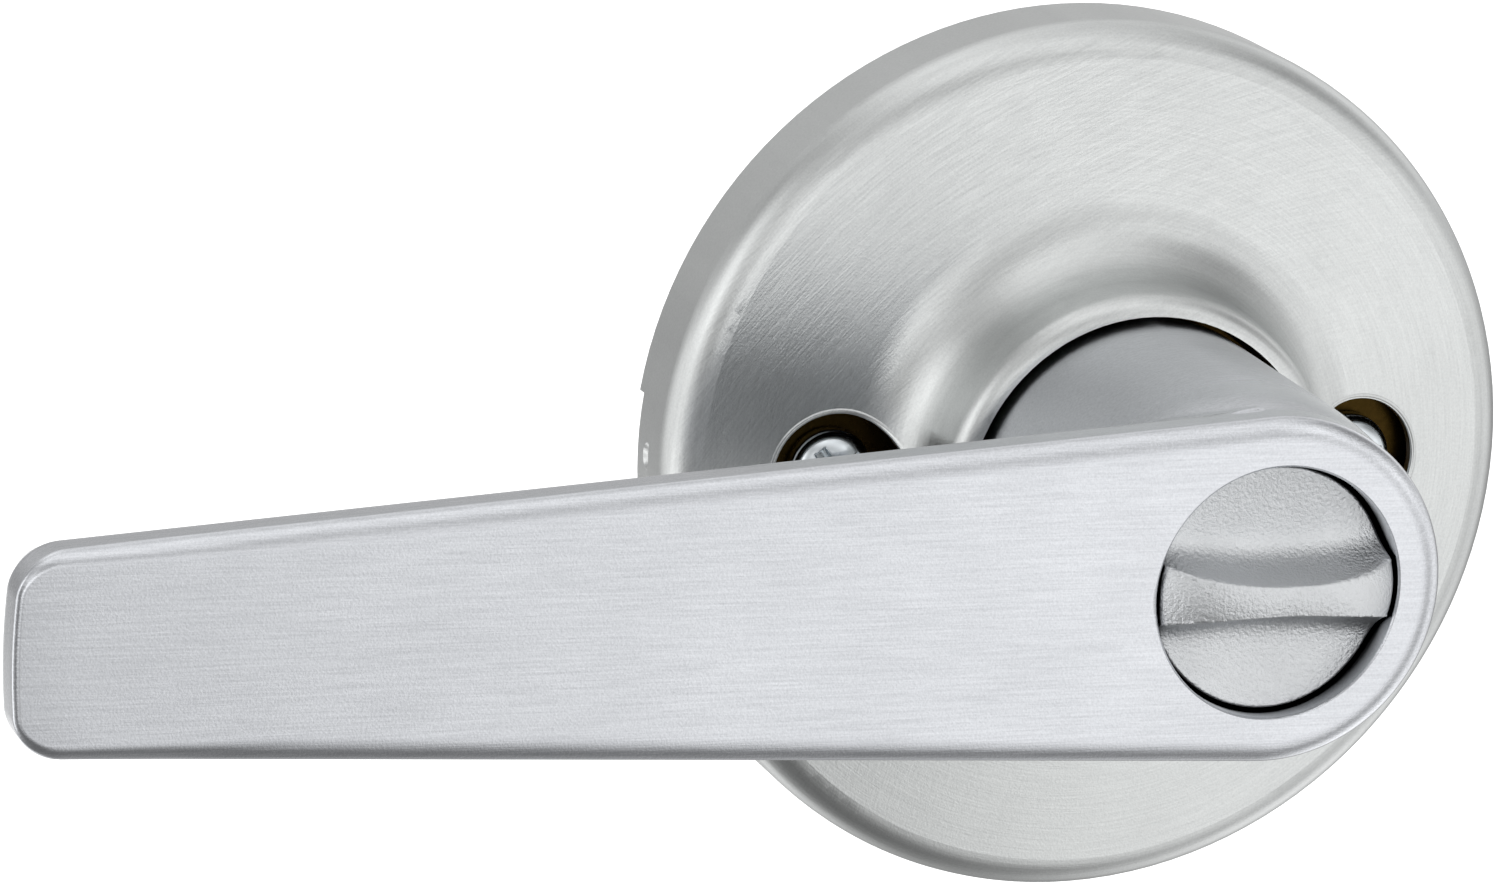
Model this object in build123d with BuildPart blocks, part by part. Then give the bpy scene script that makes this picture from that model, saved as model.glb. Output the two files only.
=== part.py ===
from build123d import *
import os
from math import asin, atan2, cos, hypot, pi, radians, sin, sqrt, tan

# Room-side half of a privacy door lever set, in millimetres.
# The origin is on the spindle axis in the plane of the door's face. +Z is up, the room lies towards -Y
# and the lever points to -X. Heights are distances out from the door's face, towards the room.

# Rose cover, a pressed shell with a trumpet neck
rose_radius = 33.3
skirt_height = 6.0
shoulder_radius = 2.8
face_slope = 6.0  # degrees, climbing towards the neck
skin = 0.9
neck_root_radius = 5.5
neck_lean = 6.0  # degrees from the axis
neck_straight = 2.5
lip_radius = 1.55
neck_gap = 0.7  # between the neck's lip and the shank
cover_hole_radius = 4.8
crimp_half_angle = 7.8  # degrees
crimp_height = 3.6
crimp_depth = 0.35
dent_ball = 1.4
dent_depth = 0.5
dent_height = 2.4

# Rose liner, a plate with a collar for the lever
liner_thickness = 1.2
liner_gap = 0.15  # inside the crimped skirt
collar_wall = 0.8
collar_drop = 4.2  # collar's end below the neck's lip
seat_rise = 2.2
seat_radius = 5.4
liner_root_round = 0.8

# Mounting screws
screw_spacing = 41.3
screw_radius = 2.08
screw_hole_gap = 0.3
screw_head_radius = 3.2
screw_head_height = 2.6
screw_head_crown = 1.1
screw_tail = 26.0  # length behind the door's face
screw_neck_radius = 1.85  # plain neck through the liner
screw_neck_drop = 1.0  # thread's start behind the liner
cross_length = 4.2
cross_width = 1.0
cross_depth = 1.7

# Lever casting
lever_projection = 44.75
lever_reach = 89.95
tip_half_height = 7.05
tip_drop = 1.25  # tip's middle below the axis
tip_end_radius = 50.0
tip_corner_radius = 2.6
tip_round = 0.35
paddle_depth = 8.0
edge_wall = 3.0
edge_round = 1.4
back_draft = 20.0  # degrees
back_round = 3.0
head_wall = 3.43
journal_radius = 11.9
shank_step = 1.05
pocket_depth = 9.4
pocket_chamfer = 0.35
web_thickness = 7.0
shank_bore_radius = 8.6

# Bearing stack behind the liner
running_gap = 0.05
seat_gap = 0.03
end_play = 0.1
bush_wall = 0.7
bush_flange = 0.8
bush_flange_width = 0.7
bush_rise = 0.3  # bushing's end beyond the collar's
washer_thickness = 0.6
washer_width = 1.2
dish_thickness = 0.4
dish_rise = 0.4
ring_thickness = 1.0
ring_depth = 0.9  # of its groove
ring_width = 2.1
ring_gap_angle = 26.0  # degrees
ring_lug_radius = 1.5
ring_eye_radius = 0.7
shank_land = 1.1

# Return spring and its cage
wire_radius = 0.85
coil_radius = 14.8
coil_pitch = 2.3
coil_turns = 3
quarter_turns = 12  # pieces of the coil's path
leg_bend = 2.0
leg_hole_gap = 0.2
coil_lead = 1.5  # front coil behind the ring
cage_gap = 0.6
cage_wall = 1.0
cage_ear_length = 4.6
cage_ear_width = 7.0
rivet_radius = 1.2
rivet_head_radius = 2.1
rivet_head_height = 0.8

# Drive sleeve, stop plate and spindle
sleeve_flange = 1.3
sleeve_plug = 10.0
boss_radius = 7.4
boss_flat = 5.9  # axis to each flat
sleeve_screw_radius = 1.0
sleeve_screw_head = 1.7
sleeve_screw_length = 7.0
plate_thickness = 1.5
plate_hub_radius = 10.0
plate_lift = 0.4  # behind the last coil
arm_half_angle = 9.0  # degrees
turn_each_way = 45.0  # degrees
stop_gap_angle = 1.0  # degrees left at the end of the turn
tongue_half_angle = 5.0  # degrees
plate_ring_thickness = 0.8
plate_ring_width = 1.6
plate_ring_depth = 0.6
boss_land = 0.9
spindle_radius = 4.2
spindle_wall = 1.25
spindle_fit = 0.04
spindle_tail = 46.0
spindle_pin_radius = 1.0

# Turn button and torque blade
button_radius = 8.8
button_gap = 0.27
bar_rise = 2.4  # thumb bar's crest above the lever's face
bar_fall = 2.8  # from the crest's middle to its ends
bar_half_width = 1.15
bar_draft = 9.0  # degrees
bar_round = 0.3
bar_root_round = 1.7
scoop_depth = 2.2  # below the lever's face, beside the bar
scoop_slope = 6.0  # degrees, rising to the button's rim
scoop_sweep = 36.0  # radius of the bar's hollow sides, seen from the front
button_washer_thickness = 0.5
button_washer_width = 3.6
stem_radius = 3.9
stem_gap = 0.08
stem_tail = 5.2  # behind the web
clip_thickness = 0.9
clip_depth = 0.8
clip_width = 2.4
clip_opening = 70.0  # degrees
blade_width = 4.6
blade_thickness = 1.3
blade_grip = 9.0  # length inside the stem
blade_tail = 50.0
blade_pin_radius = 0.8
pin_gap = 0.02

# Worked out from the sizes above
slope = radians(face_slope)
lean = radians(neck_lean)
shank_radius = journal_radius + shank_step
opening_radius = shank_radius + neck_gap
shoulder_centre = (rose_radius - shoulder_radius, skirt_height)
neck_foot_radius = opening_radius + lip_radius * cos(lean) + neck_straight * sin(lean)
root_centre_radius = neck_foot_radius + neck_root_radius * cos(lean)
face_outer = Vector(
    shoulder_centre[0] + shoulder_radius * sin(slope), shoulder_centre[1] + shoulder_radius * cos(slope)
)
face_inner_radius = root_centre_radius - neck_root_radius * sin(slope)
face_run = (face_outer.X - face_inner_radius) / cos(slope)
face_inner = Vector(face_inner_radius, face_outer.Y + face_run * sin(slope))
root_centre = (root_centre_radius, face_inner.Y + neck_root_radius * cos(slope))
neck_foot_height = root_centre[1] - neck_root_radius * sin(lean)
lip_centre = (opening_radius, neck_foot_height + neck_straight * cos(lean) - lip_radius * sin(lean))
neck_height = lip_centre[1] + lip_radius

dent_reach = dent_ball + skin
dent_half_height = sqrt(dent_reach**2 - (dent_reach - dent_depth) ** 2)
liner_rear = dent_height + dent_half_height
liner_front = liner_rear + liner_thickness
liner_radius = rose_radius - skin - crimp_depth - liner_gap
rim_reach = shoulder_radius - skin
rim_front = skirt_height + sqrt(rim_reach**2 - (liner_radius - shoulder_centre[0]) ** 2) - liner_gap
seat_height = liner_front + seat_rise
screw_hole_radius = screw_radius + screw_hole_gap

bush_bore = journal_radius + running_gap
bush_radius = bush_bore + bush_wall
collar_bore = bush_radius + seat_gap
collar_radius = collar_bore + collar_wall
collar_end = neck_height - collar_drop
bush_end = collar_end + bush_rise
shank_shoulder = bush_end + end_play
washer_rear = liner_rear - bush_flange - washer_thickness
dish_rear = washer_rear - dish_thickness - dish_rise
ring_rear = dish_rear - ring_thickness
groove_radius = journal_radius - ring_depth
shank_end = ring_rear - seat_gap - shank_land

coil_front = ring_rear - coil_lead
coil_rear = coil_front - coil_turns * coil_pitch
plate_front = coil_rear - wire_radius - plate_lift
plate_rear = plate_front - plate_thickness
leg_hole_radius = wire_radius + leg_hole_gap
cage_bore = coil_radius + wire_radius + cage_gap
cage_radius = cage_bore + cage_wall
ear_rear = liner_rear - cage_wall
rivet_circle = cage_radius + cage_ear_length / 2
sleeve_rear = plate_rear - plate_ring_thickness - boss_land
sleeve_front = shank_end + sleeve_plug
sleeve_screw_circle = (shank_bore_radius + groove_radius) / 2
plate_groove_radius = boss_flat - plate_ring_depth
spindle_bore = spindle_radius - spindle_wall

pocket_radius = button_radius + button_gap
head_radius = pocket_radius + head_wall
pocket_floor = lever_projection - pocket_depth
web_rear = pocket_floor - web_thickness
stem_bore = stem_radius + stem_gap
stem_end = web_rear - stem_tail
clip_front = web_rear - end_play

# Distance out from the door is the local Y of this plane, distance from the axis its local X
profile_plane = Plane(origin=(0, 0, 0), x_dir=(1, 0, 0), z_dir=(0, 0, -1))


def door_plane(height):
    # Parallel to the door's face, with local X along +X and local Y along +Z
    return Plane.XZ.offset(height)


def ring_profile(inner, outer, low, high):
    # Rectangle between two radii and two heights
    with Locations(((inner + outer) / 2, (low + high) / 2)):
        Rectangle(outer - inner, high - low)


def arc_sector(inner, outer, middle_angle, half_angle):
    # Part of a ring, about a given direction
    with BuildLine() as outline:
        start = middle_angle - half_angle
        outer_arc = CenterArc((0, 0), outer, start, 2 * half_angle)
        inner_arc = CenterArc((0, 0), inner, start, 2 * half_angle)
        Line(outer_arc @ 0, inner_arc @ 0)
        Line(outer_arc @ 1, inner_arc @ 1)
    make_face(outline.edges())


os.makedirs("parts", exist_ok=True)


# Rose cover
with BuildPart() as rose_cover:
    with BuildSketch(profile_plane):
        with BuildLine():
            Line((rose_radius, 0), (rose_radius, skirt_height))
            shoulder = CenterArc(shoulder_centre, shoulder_radius, 0, 90 - face_slope)
            root = CenterArc(root_centre, neck_root_radius, 270 - face_slope, neck_lean + face_slope - 90)
            Line(shoulder @ 1, root @ 0)
            lip = CenterArc(lip_centre, lip_radius, neck_lean, 90 - neck_lean)
            Line(root @ 1, lip @ 0)
            inner_lip = CenterArc(lip_centre, lip_radius - skin, 90, neck_lean - 90)
            Line(lip @ 1, inner_lip @ 0)
            inner_root = CenterArc(root_centre, neck_root_radius + skin, 180 + neck_lean,
                                   90 - neck_lean - face_slope)
            Line(inner_lip @ 1, inner_root @ 0)
            inner_shoulder = CenterArc(shoulder_centre, shoulder_radius - skin, 90 - face_slope,
                                       face_slope - 90)
            Line(inner_root @ 1, inner_shoulder @ 0)
            Line(inner_shoulder @ 1, (rose_radius - skin, 0))
            Line((rose_radius - skin, 0), (rose_radius, 0))
        make_face()
    revolve(axis=Axis.Y)
    # Skirt pressed in at both ends of the screw line
    with BuildSketch(door_plane(0)):
        for side in (0, 180):
            arc_sector(rose_radius - skin - crimp_depth, rose_radius - skin / 2, side, crimp_half_angle)
    extrude(amount=crimp_height)
    dent_centre = rose_radius - crimp_depth + dent_ball - dent_depth
    with Locations((-dent_centre, -dent_height, 0), (dent_centre, -dent_height, 0)):
        Sphere(dent_reach)
    for inner, top in ((rose_radius - crimp_depth, crimp_height), (rose_radius, dent_height + dent_reach)):
        with BuildSketch(door_plane(-skin)):
            for side in (0, 180):
                arc_sector(inner, rose_radius + 2 * dent_reach, side, crimp_half_angle)
        extrude(amount=top + skin, mode=Mode.SUBTRACT)
    with Locations((-dent_centre, -dent_height, 0), (dent_centre, -dent_height, 0)):
        Sphere(dent_ball, mode=Mode.SUBTRACT)
    # Screw holes
    with BuildSketch(door_plane(neck_height)):
        with GridLocations(screw_spacing, 0, 2, 1):
            Circle(cover_hole_radius)
    extrude(amount=-neck_height, mode=Mode.SUBTRACT)
rose_cover.part.label = "rose_cover"
export_step(rose_cover.part, "parts/rose_cover.step")


# Rose liner
with BuildPart() as rose_liner:
    with BuildSketch(profile_plane):
        ring_profile(collar_bore, liner_radius, liner_rear, liner_front)
        ring_profile(collar_bore, collar_radius, liner_rear, collar_end)
        ring_profile(liner_radius - liner_thickness, liner_radius, liner_rear, rim_front)
    revolve(axis=Axis.Y)
    collar_foot = rose_liner.edges().filter_by(GeomType.CIRCLE).filter_by(
        lambda e: abs(e.radius - collar_radius) < seat_gap / 2 and abs(e.center().Y + liner_front) < seat_gap / 2
    )
    fillet(collar_foot, liner_root_round)
    # Raised seats under the screw heads, hollow behind
    with BuildSketch(door_plane(liner_front)):
        with GridLocations(screw_spacing, 0, 2, 1):
            Circle(seat_radius)
    extrude(amount=seat_rise)
    with BuildSketch(door_plane(liner_rear)):
        with GridLocations(screw_spacing, 0, 2, 1):
            Circle(seat_radius - liner_thickness)
    extrude(amount=seat_rise, mode=Mode.SUBTRACT)
    with BuildSketch(door_plane(liner_rear)):
        with GridLocations(screw_spacing, 0, 2, 1):
            Circle(screw_hole_radius)
        with PolarLocations(rivet_circle, 4, start_angle=45):
            Circle(rivet_radius + pin_gap)
        with Locations((0, -coil_radius)):
            Circle(leg_hole_radius)
    extrude(amount=seat_rise + liner_thickness, mode=Mode.SUBTRACT)
rose_liner.part.label = "rose_liner"
export_step(rose_liner.part, "parts/rose_liner.step")


# Mounting screws, two alike
with BuildPart() as mounting_screws:
    head_top = seat_height + screw_head_height
    for side in (-1, 1):
        centre = side * screw_spacing / 2
        with BuildSketch(door_plane(-screw_tail)):
            with Locations((centre, 0)):
                Circle(screw_radius)
        extrude(amount=screw_tail + liner_rear - screw_neck_drop)
        with BuildSketch(door_plane(liner_rear - screw_neck_drop)):
            with Locations((centre, 0)):
                Circle(screw_neck_radius)
        extrude(amount=seat_height - liner_rear + screw_neck_drop)
        # Domed head, turned about the screw's own axis
        head_plane = Plane(origin=(centre, 0, 0), x_dir=(1, 0, 0), z_dir=(0, 0, -1))
        with BuildSketch(head_plane):
            with BuildLine():
                Line((0, seat_height), (screw_head_radius, seat_height))
                Line((screw_head_radius, seat_height), (screw_head_radius, head_top - screw_head_crown))
                crown_radius = (screw_head_radius**2 + screw_head_crown**2) / (2 * screw_head_crown)
                RadiusArc((screw_head_radius, head_top - screw_head_crown), (0, head_top), -crown_radius)
                Line((0, head_top), (0, seat_height))
            make_face()
        revolve(axis=Axis((centre, 0, 0), (0, 1, 0)))
        with BuildSketch(door_plane(head_top)):
            with Locations((centre, 0)):
                Rectangle(cross_length, cross_width)
                Rectangle(cross_width, cross_length)
        extrude(amount=-cross_depth, taper=12, mode=Mode.SUBTRACT)
mounting_screws.part.label = "mounting_screws"
export_step(mounting_screws.part, "parts/mounting_screws.step")


# Neck bushing with a thrust flange behind the liner
with BuildPart() as neck_bushing:
    with BuildSketch(profile_plane):
        ring_profile(bush_bore, bush_radius, liner_rear - bush_flange, bush_end)
        ring_profile(bush_bore, bush_radius + bush_flange_width, liner_rear - bush_flange, liner_rear)
    revolve(axis=Axis.Y)
neck_bushing.part.label = "neck_bushing"
export_step(neck_bushing.part, "parts/neck_bushing.step")


# Thrust washer
with BuildPart() as thrust_washer:
    with BuildSketch(profile_plane):
        ring_profile(bush_bore, bush_bore + washer_width, washer_rear, washer_rear + washer_thickness)
    revolve(axis=Axis.Y)
thrust_washer.part.label = "thrust_washer"
export_step(thrust_washer.part, "parts/thrust_washer.step")


# Dished spring washer, its outer edge against the thrust washer
with BuildPart() as spring_washer:
    with BuildSketch(profile_plane):
        with BuildLine():
            dish_outer = bush_bore + washer_width
            Polyline(
                (bush_bore, dish_rear),
                (dish_outer, dish_rear + dish_rise),
                (dish_outer, dish_rear + dish_rise + dish_thickness),
                (bush_bore, dish_rear + dish_thickness),
                close=True,
            )
        make_face()
    revolve(axis=Axis.Y)
spring_washer.part.label = "spring_washer"
export_step(spring_washer.part, "parts/spring_washer.step")


def open_ring(inner, outer, opening, middle_angle):
    # Ring with a gap about a given direction
    arc_sector(inner, outer, middle_angle + 180, 180 - opening / 2)


# Retaining ring with two eyes, in the shank's groove
with BuildPart() as retaining_ring:
    with BuildSketch(door_plane(ring_rear)):
        ring_outer = groove_radius + seat_gap + ring_width
        open_ring(groove_radius + seat_gap, ring_outer, ring_gap_angle, 90)
        lug_angle = radians(ring_gap_angle / 2 + 7)
        lug_circle = groove_radius + seat_gap + ring_lug_radius
        lugs = [(side * lug_circle * sin(lug_angle), lug_circle * cos(lug_angle)) for side in (-1, 1)]
        with Locations(*lugs):
            Circle(ring_lug_radius)
            Circle(ring_eye_radius, mode=Mode.SUBTRACT)
    extrude(amount=ring_thickness)
retaining_ring.part.label = "retaining_ring"
export_step(retaining_ring.part, "parts/retaining_ring.step")


# Spring cage: a cup on four ears, with two stop tongues at its open end
with BuildPart() as spring_cage:
    with BuildSketch(door_plane(liner_rear)):
        Circle(cage_radius)
        with PolarLocations(rivet_circle, 4, start_angle=45):
            SlotOverall(cage_ear_length + cage_ear_width, cage_ear_width)
        Circle(cage_bore, mode=Mode.SUBTRACT)
        with PolarLocations(rivet_circle, 4, start_angle=45):
            Circle(rivet_radius + pin_gap, mode=Mode.SUBTRACT)
    extrude(amount=-cage_wall)
    with BuildSketch(profile_plane):
        ring_profile(cage_bore, cage_radius, coil_rear, liner_rear)
    revolve(axis=Axis.Y)
    with BuildSketch(door_plane(coil_rear)):
        stop_angle = turn_each_way + arm_half_angle + stop_gap_angle + tongue_half_angle
        for side in (-1, 1):
            arc_sector(cage_bore, cage_radius, 90 + side * stop_angle, tongue_half_angle)
    extrude(amount=plate_rear - coil_rear)
spring_cage.part.label = "spring_cage"
export_step(spring_cage.part, "parts/spring_cage.step")


# Cage rivets, four alike
with BuildPart() as cage_rivets:
    with BuildSketch(door_plane(ear_rear)):
        with PolarLocations(rivet_circle, 4, start_angle=45):
            Circle(rivet_radius)
    extrude(amount=cage_wall + liner_thickness)
    for height, reach in ((liner_front, rivet_head_height), (ear_rear, -rivet_head_height)):
        with BuildSketch(door_plane(height)):
            with PolarLocations(rivet_circle, 4, start_angle=45):
                Circle(rivet_head_radius)
        extrude(amount=reach, taper=30)
cage_rivets.part.label = "cage_rivets"
export_step(cage_rivets.part, "parts/cage_rivets.step")


def coil_point(angle):
    # Point of the coil's centre line after an angle from its front leg
    height = coil_front - coil_pitch * angle / (2 * pi)
    return Vector(coil_radius * sin(angle), -height, -coil_radius * cos(angle))


def coil_direction(angle):
    # Direction of the coil's centre line at that angle
    climb = coil_pitch / (2 * pi)
    return Vector(coil_radius * cos(angle), climb, coil_radius * sin(angle)).normalized()


def biarc(start, start_direction, end, end_direction):
    # Two arcs that leave and arrive in the given directions and meet smoothly between
    chord = end - start
    along = chord.dot(start_direction + end_direction)
    spread = 2 * (1 - start_direction.dot(end_direction))
    reach = (sqrt(along**2 + spread * chord.dot(chord)) - along) / spread
    near = start + start_direction * reach
    far = end - end_direction * reach
    middle = (near + far) * 0.5
    TangentArc(start, middle, tangent=start_direction)
    TangentArc(middle, end, tangent=(far - near).normalized())


def least_gap(path, wire, samples=900):
    # Least free distance between parts of a wire that are not next to each other along it
    points = [path @ (i / samples) for i in range(samples + 1)]
    apart = round(samples * 4 * wire / path.length) + 1
    return min(
        (points[i] - points[j]).length
        for i in range(0, samples + 1, 3)
        for j in range(i + apart, samples + 1)
    ) - 2 * wire


# Return spring: a torsion coil with its legs along the axis
bend_angle = asin(leg_bend / coil_radius)
leg_start = Vector(0, -liner_front, -coil_radius)
leg_end = Vector(0, -plate_rear, -coil_radius)
first_angle = bend_angle
last_angle = coil_turns * 2 * pi - bend_angle
step_angle = (last_angle - first_angle) / quarter_turns
with BuildPart() as return_spring:
    with BuildLine() as spring_path:
        front_bend = Vector(0, -(coil_front + leg_bend), -coil_radius)
        Line(leg_start, front_bend)
        biarc(front_bend, Vector(0, 1, 0), coil_point(first_angle), coil_direction(first_angle))
        for quarter in range(quarter_turns):
            here = first_angle + quarter * step_angle
            there = here + step_angle
            biarc(coil_point(here), coil_direction(here), coil_point(there), coil_direction(there))
        rear_bend = Vector(0, -(coil_rear - leg_bend), -coil_radius)
        biarc(coil_point(last_angle), coil_direction(last_angle), rear_bend, Vector(0, 1, 0))
        Line(rear_bend, leg_end)
    with BuildSketch(Plane(origin=leg_start, z_dir=(0, 1, 0))):
        Circle(wire_radius)
    sweep(path=spring_path.wire())
return_spring.part.label = "return_spring"
export_step(return_spring.part, "parts/return_spring.step")
print("return spring, least gap to itself:", round(least_gap(spring_path.wire(), wire_radius), 3))


def paddle_outline(overrun):
    # Tapered paddle whose sides leave the head's circle as tangents, its tip square and longer by overrun
    # or bowed with rounded corners
    corner_x = tip_end_radius - sqrt(tip_end_radius**2 - tip_half_height**2) - lever_reach
    sides = []
    for height in (tip_half_height - tip_drop, tip_half_height + tip_drop):
        taper = asin(head_radius / hypot(corner_x, height)) - atan2(height, -corner_x)
        far = (corner_x - overrun, height - overrun * tan(taper))
        sides.append(((-head_radius * sin(taper), head_radius * cos(taper)), far))
    (top_near, top_far), (low_near, low_far) = sides
    with BuildLine() as outline:
        Line(top_near, top_far)
        if overrun:
            Line(top_far, (low_far[0], -low_far[1]))
        else:
            ThreePointArc(top_far, (-lever_reach, -tip_drop), (low_far[0], -low_far[1]))
        Line((low_far[0], -low_far[1]), (low_near[0], -low_near[1]))
        Line((low_near[0], -low_near[1]), top_near)
    make_face(outline.edges())


# Front of the paddle with its tip, the end edge rounded only a little
with BuildPart() as tip_block:
    with BuildSketch(door_plane(lever_projection)) as tip_outline:
        paddle_outline(0)
        fillet(tip_outline.vertices().group_by(Axis.X)[0], tip_corner_radius)
        Circle(head_radius)
    extrude(amount=-edge_wall)
    fillet(tip_block.faces().sort_by(Axis.Y)[0].edges(), tip_round)


# Lever
with BuildPart() as lever:
    # Long edges rounded on a paddle without an end, then cut to the tip
    with BuildSketch(door_plane(lever_projection)):
        paddle_outline(tip_half_height)
        Circle(head_radius)
    extrude(amount=-edge_wall)
    long_edges = lever.faces().sort_by(Axis.Y)[0].edges().sort_by(Axis.X)[1:]
    fillet(long_edges, edge_round)
    add(tip_block.part, mode=Mode.INTERSECT)
    with BuildSketch(door_plane(lever_projection - edge_wall)) as back_outline:
        paddle_outline(0)
        fillet(back_outline.vertices().group_by(Axis.X)[0], tip_corner_radius)
    extrude(amount=-(paddle_depth - edge_wall), taper=back_draft)
    back_edges = lever.faces().sort_by(Axis.Y)[-1].edges().sort_by(Axis.X)[:-1]
    fillet(back_edges, back_round)
    # Shank: a slightly flared barrel, then the journal with its ring groove
    with BuildSketch(profile_plane):
        with BuildLine():
            Polyline(
                (0, lever_projection - edge_wall),
                (head_radius, lever_projection - edge_wall),
                (shank_radius, lever_projection - paddle_depth),
                (shank_radius, shank_shoulder),
                (journal_radius, shank_shoulder),
                (journal_radius, dish_rear + seat_gap),
                (groove_radius, dish_rear + seat_gap),
                (groove_radius, ring_rear - seat_gap),
                (journal_radius, ring_rear - seat_gap),
                (journal_radius, shank_end),
                (0, shank_end),
                close=True,
            )
        make_face()
    revolve(axis=Axis.Y)
    # Button pocket, stem hole and hollow shank
    with BuildSketch(profile_plane):
        ring_profile(0, pocket_radius, pocket_floor, lever_projection)
        ring_profile(0, stem_bore, web_rear, pocket_floor)
        ring_profile(0, shank_bore_radius, shank_end, web_rear)
    revolve(axis=Axis.Y, mode=Mode.SUBTRACT)
    pocket_edge = lever.faces().sort_by(Axis.Y)[0].inner_wires().edges()
    chamfer(pocket_edge, pocket_chamfer)
    # Holes for the sleeve's screws
    with BuildSketch(door_plane(shank_end)):
        with GridLocations(2 * sleeve_screw_circle, 0, 2, 1):
            Circle(sleeve_screw_radius + pin_gap)
    extrude(amount=sleeve_screw_length, mode=Mode.SUBTRACT)
lever.part.label = "lever"
export_step(lever.part, "parts/lever.step")


def half_round(outer, inner):
    # Upper half of a ring
    arc_sector(inner, outer, 90, 90)


# Drive sleeve: a plug in the shank, a flange and a boss with two flats
pin_height = shank_end + sleeve_plug / 2
with BuildPart() as drive_sleeve:
    with BuildSketch(profile_plane):
        ring_profile(0, shank_bore_radius - seat_gap, shank_end, sleeve_front)
        ring_profile(0, journal_radius, shank_end - sleeve_flange, shank_end)
        ring_profile(0, boss_radius, sleeve_rear, shank_end - sleeve_flange)
    revolve(axis=Axis.Y)
    with BuildSketch(door_plane(sleeve_rear)):
        Circle(boss_radius + plate_thickness)
        Rectangle(2 * boss_flat, 4 * boss_radius, mode=Mode.SUBTRACT)
    extrude(amount=plate_front - sleeve_rear, mode=Mode.SUBTRACT)
    # Groove for the ring that keeps the stop plate on
    with BuildSketch(door_plane(plate_rear - plate_ring_thickness)):
        Circle(boss_radius + plate_thickness)
        Circle(plate_groove_radius, mode=Mode.SUBTRACT)
    extrude(amount=plate_ring_thickness, mode=Mode.SUBTRACT)
    # Half-round socket, with room under it for the torque blade to turn
    with BuildSketch(door_plane(sleeve_rear)):
        half_round(spindle_radius + spindle_fit, 0.5 * spindle_bore)
        Circle(spindle_bore)
    extrude(amount=sleeve_front - sleeve_rear, mode=Mode.SUBTRACT)
    with BuildSketch(Plane.XY.offset(0)):
        with Locations((0, -pin_height)):
            Circle(spindle_pin_radius + pin_gap)
    extrude(amount=shank_bore_radius, mode=Mode.SUBTRACT)
    with BuildSketch(door_plane(shank_end - sleeve_flange)):
        with GridLocations(2 * sleeve_screw_circle, 0, 2, 1):
            Circle(sleeve_screw_radius + pin_gap)
    extrude(amount=sleeve_flange, mode=Mode.SUBTRACT)
drive_sleeve.part.label = "drive_sleeve"
export_step(drive_sleeve.part, "parts/drive_sleeve.step")


# Sleeve screws, two alike
with BuildPart() as sleeve_screws:
    with BuildSketch(door_plane(shank_end - sleeve_flange)):
        with GridLocations(2 * sleeve_screw_circle, 0, 2, 1):
            Circle(sleeve_screw_radius)
    extrude(amount=sleeve_flange + sleeve_screw_length - end_play)
    with BuildSketch(door_plane(shank_end - sleeve_flange)):
        with GridLocations(2 * sleeve_screw_circle, 0, 2, 1):
            Circle(sleeve_screw_head)
    extrude(amount=-sleeve_screw_radius, taper=15)
sleeve_screws.part.label = "sleeve_screws"
export_step(sleeve_screws.part, "parts/sleeve_screws.step")


# Stop plate: hub on the flats, a stop arm above and a spring arm below
with BuildPart() as stop_plate:
    with BuildSketch(door_plane(plate_rear)):
        Circle(plate_hub_radius)
        arc_sector(boss_radius, cage_radius, 90, arm_half_angle)
        arc_sector(boss_radius, coil_radius + 2 * leg_hole_radius, 270, arm_half_angle)
        with BuildSketch(mode=Mode.SUBTRACT):
            Circle(boss_radius + seat_gap)
            Rectangle(2 * (boss_flat + seat_gap), 4 * boss_radius, mode=Mode.INTERSECT)
        with Locations((0, -coil_radius)):
            Circle(leg_hole_radius, mode=Mode.SUBTRACT)
    extrude(amount=plate_thickness)
stop_plate.part.label = "stop_plate"
export_step(stop_plate.part, "parts/stop_plate.step")


# Ring behind the stop plate
with BuildPart() as plate_ring:
    with BuildSketch(door_plane(plate_rear - plate_ring_thickness)):
        ring_bore = plate_groove_radius + seat_gap
        open_ring(ring_bore, boss_flat + plate_ring_width, clip_opening, 0)
    extrude(amount=plate_ring_thickness - seat_gap)
plate_ring.part.label = "plate_ring"
export_step(plate_ring.part, "parts/plate_ring.step")


# Half-round spindle
with BuildPart() as half_round_spindle:
    with BuildSketch(door_plane(-spindle_tail)):
        half_round(spindle_radius, spindle_bore)
    extrude(amount=spindle_tail + sleeve_front)
    with BuildSketch(Plane.XY.offset(0)):
        with Locations((0, -pin_height)):
            Circle(spindle_pin_radius + pin_gap)
    extrude(amount=shank_bore_radius, mode=Mode.SUBTRACT)
half_round_spindle.part.label = "half_round_spindle"
export_step(half_round_spindle.part, "parts/half_round_spindle.step")


# Spindle pin, through the sleeve into the spindle's wall
with BuildPart() as spindle_pin:
    with BuildSketch(Plane.XY.offset(spindle_bore + end_play)):
        with Locations((0, -pin_height)):
            Circle(spindle_pin_radius)
    extrude(amount=shank_bore_radius - spindle_bore - 3 * end_play)
spindle_pin.part.label = "spindle_pin"
export_step(spindle_pin.part, "parts/spindle_pin.step")


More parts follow.
